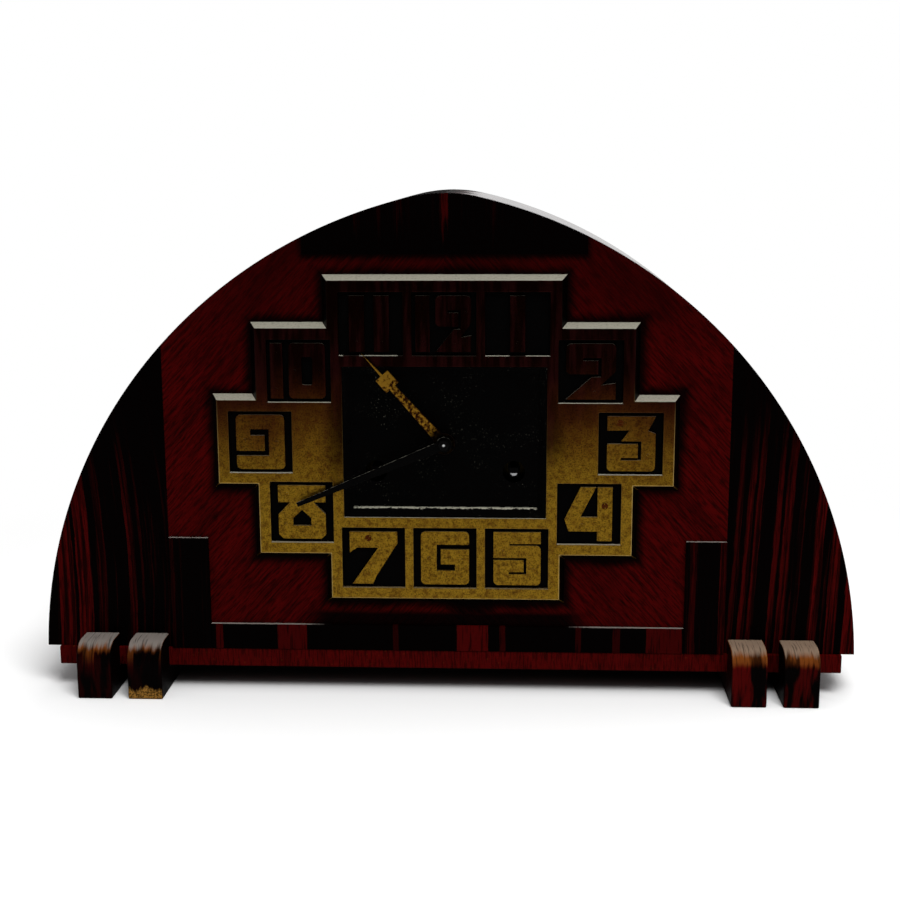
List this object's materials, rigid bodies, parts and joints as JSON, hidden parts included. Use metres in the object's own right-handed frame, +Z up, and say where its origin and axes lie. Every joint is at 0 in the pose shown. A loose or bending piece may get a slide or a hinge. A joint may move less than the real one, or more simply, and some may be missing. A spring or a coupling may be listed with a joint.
{
  "type": "shelf clock",
  "caption": "Low wide shelf clock with a pointed-arch veneered case, stepped brass dial with raised block numerals, a striking spring movement and a hinged back door.",
  "frame": {"origin": "on the floor under the middle of the bounding box, between the feet", "axes": "+X to the right seen from the front, +Y from the dial to the back, +Z up"},
  "size_m": [0.451, 0.1316, 0.2766],
  "materials": {
    "crown_wood": "satin dark striped veneer",
    "stripe_wood": "satin dark striped veneer",
    "red_wood": "satin dark red veneer",
    "case_wood": "satin dark wood",
    "inner_wood": "plain unfinished wood",
    "base_wood": "satin dark red wood",
    "foot_wood": "satin striped wood",
    "dial_brass": "aged satin brass",
    "black_paint": "matt black paint",
    "hand_steel": "blackened steel",
    "movement_brass": "brushed brass",
    "movement_steel": "polished steel",
    "gong_iron": "plain casting"
  },
  "bodies": {
    "case": {"front_board": "inner_wood", "crown_veneer": "crown_wood", "side_veneer_left": "stripe_wood", "side_veneer_right": "stripe_wood", "field_veneer_left": "red_wood", "field_veneer_right": "red_wood", "arch_left": "case_wood", "arch_right": "case_wood", "case_floor": "inner_wood", "plinth_board": "base_wood", "upper_rail": "base_wood", "post_left": "stripe_wood", "post_right": "stripe_wood", "foot_outer_left": "foot_wood", "foot_inner_left": "foot_wood", "foot_inner_right": "foot_wood", "foot_outer_right": "foot_wood", "back_panel": "inner_wood", "wood_screws": "movement_steel", "hinge_case_leaves": "movement_brass", "hinge_pins": "movement_steel", "dial_frame": "dial_brass", "dial_ground": "black_paint", "centre_tray": "black_paint", "dial_pins": "dial_brass", "numerals": "dial_brass", "front_plate": "movement_brass", "back_plate": "movement_brass", "plate_pillars": "movement_brass", "gong_block": "gong_iron", "gong_rods": "movement_steel"},
    "door": {"back_door": "inner_wood", "door_knob": "movement_brass", "hinge_door_leaves": "movement_brass", "hinge_door_screws": "movement_steel"},
    "button": {"turn_button": "movement_brass"},
    "minute_work": {"minute_hand": "hand_steel", "cannon_pinion": "movement_steel", "hand_nut": "dial_brass"},
    "hour_work": {"hour_hand": "dial_brass", "hour_wheel": "movement_brass"},
    "minute_wheel_work": {"minute_wheel": "movement_brass"},
    "going_drum": {"going_barrel": "movement_brass", "going_mainspring": "movement_steel"},
    "going_second": {"going_second_wheel": "movement_brass"},
    "centre": {"centre_wheel": "movement_brass"},
    "third": {"third_wheel": "movement_brass"},
    "escape": {"escape_wheel": "movement_brass"},
    "anchor_work": {"anchor": "movement_steel"},
    "pendulum_work": {"pendulum": "movement_brass"},
    "going_winder": {"going_arbor": "movement_steel"},
    "going_pawl": {"going_click": "movement_steel"},
    "strike_drum": {"strike_barrel": "movement_brass", "strike_mainspring": "movement_steel"},
    "strike_second": {"strike_second_wheel": "movement_brass"},
    "pin_work": {"pin_wheel": "movement_brass"},
    "fly_work": {"fly": "movement_brass"},
    "strike_winder": {"strike_arbor": "movement_steel"},
    "strike_pawl": {"strike_click": "movement_steel"},
    "hammer_work": {"hammer": "movement_steel"}
  },
  "joints": [
    {"name": "door_hinge", "type": "hinge", "parent": "case", "child": "door", "pos_m": [-0.09505, 0.06225, 0.12653], "axis": [0, 0, 1], "range_deg": [0, 110]},
    {"name": "button_turn", "type": "hinge", "parent": "case", "child": "button", "pos_m": [0.10305, 0.06075, 0.12653], "axis": [0, 1, 0], "range_deg": [0, 90]},
    {"name": "minute_turn", "type": "hinge", "parent": "case", "child": "minute_work", "pos_m": [0, -0.04425, 0.1421], "axis": [0, 1, 0], "continuous": true},
    {"name": "hour_turn", "type": "hinge", "parent": "case", "child": "hour_work", "pos_m": [0, -0.04425, 0.1421], "axis": [0, 1, 0], "continuous": true},
    {"name": "minute_wheel_turn", "type": "hinge", "parent": "case", "child": "minute_wheel_work", "pos_m": [0, -0.03525, 0.1241], "axis": [0, 1, 0], "continuous": true},
    {"name": "going_drum_turn", "type": "hinge", "parent": "case", "child": "going_drum", "pos_m": [0.0375, -0.01425, 0.1256], "axis": [0, 1, 0], "continuous": true},
    {"name": "going_second_turn", "type": "hinge", "parent": "case", "child": "going_second", "pos_m": [0.02256, -0.01425, 0.15333], "axis": [0, 1, 0], "continuous": true},
    {"name": "centre_turn", "type": "hinge", "parent": "case", "child": "centre", "pos_m": [0, -0.01425, 0.1421], "axis": [0, 1, 0], "continuous": true},
    {"name": "third_turn", "type": "hinge", "parent": "case", "child": "third", "pos_m": [0, -0.01425, 0.1631], "axis": [0, 1, 0], "continuous": true},
    {"name": "escape_turn", "type": "hinge", "parent": "case", "child": "escape", "pos_m": [0, -0.01425, 0.18074], "axis": [0, 1, 0], "continuous": true},
    {"name": "pendulum_swing", "type": "hinge", "parent": "case", "child": "pendulum_work", "pos_m": [0, 0.01875, 0.19674], "axis": [0, 1, 0], "range_deg": [-4, 4]},
    {"name": "anchor_rock", "type": "hinge", "parent": "case", "child": "anchor_work", "pos_m": [0, -0.01425, 0.19674], "axis": [0, 1, 0], "range_deg": [-4, 4]},
    {"name": "going_wind", "type": "hinge", "parent": "case", "child": "going_winder", "pos_m": [0.0375, -0.03425, 0.1256], "axis": [0, 1, 0], "continuous": true},
    {"name": "going_click_lift", "type": "hinge", "parent": "case", "child": "going_pawl", "pos_m": [0.0375, 0.00975, 0.1396], "axis": [0, 1, 0], "range_deg": [-12, 0], "stiffness_Nm_per_rad": 0.002},
    {"name": "strike_drum_turn", "type": "hinge", "parent": "case", "child": "strike_drum", "pos_m": [-0.0375, -0.01425, 0.1256], "axis": [0, 1, 0], "continuous": true},
    {"name": "strike_second_turn", "type": "hinge", "parent": "case", "child": "strike_second", "pos_m": [-0.02435, -0.01425, 0.15422], "axis": [0, 1, 0], "continuous": true},
    {"name": "pin_turn", "type": "hinge", "parent": "case", "child": "pin_work", "pos_m": [-0.03297, -0.01425, 0.1779], "axis": [0, 1, 0], "continuous": true},
    {"name": "fly_turn", "type": "hinge", "parent": "case", "child": "fly_work", "pos_m": [-0.04824, -0.01425, 0.18672], "axis": [0, 1, 0], "continuous": true},
    {"name": "strike_wind", "type": "hinge", "parent": "case", "child": "strike_winder", "pos_m": [-0.0375, -0.03425, 0.1256], "axis": [0, 1, 0], "continuous": true},
    {"name": "strike_click_lift", "type": "hinge", "parent": "case", "child": "strike_pawl", "pos_m": [-0.0375, 0.00975, 0.1396], "axis": [0, 1, 0], "range_deg": [-12, 0], "stiffness_Nm_per_rad": 0.002},
    {"name": "hammer_lift", "type": "hinge", "parent": "case", "child": "hammer_work", "pos_m": [-0.054, 0.01575, 0.1641], "axis": [0, 1, 0], "range_deg": [0, 14]}
  ],
  "couplings": [
    {"joint": "hour_turn", "follows": "minute_turn", "ratio": 0.083333},
    {"joint": "minute_wheel_turn", "follows": "minute_turn", "ratio": -0.33333},
    {"joint": "centre_turn", "follows": "third_turn", "ratio": -0.16667},
    {"joint": "going_second_turn", "follows": "third_turn", "ratio": 0.027778},
    {"joint": "going_drum_turn", "follows": "third_turn", "ratio": -0.0046296},
    {"joint": "escape_turn", "follows": "third_turn", "ratio": -6},
    {"joint": "anchor_rock", "follows": "pendulum_swing", "ratio": 1},
    {"joint": "strike_second_turn", "follows": "pin_turn", "ratio": -0.16667},
    {"joint": "strike_drum_turn", "follows": "pin_turn", "ratio": 0.027778},
    {"joint": "fly_turn", "follows": "pin_turn", "ratio": -6}
  ]
}
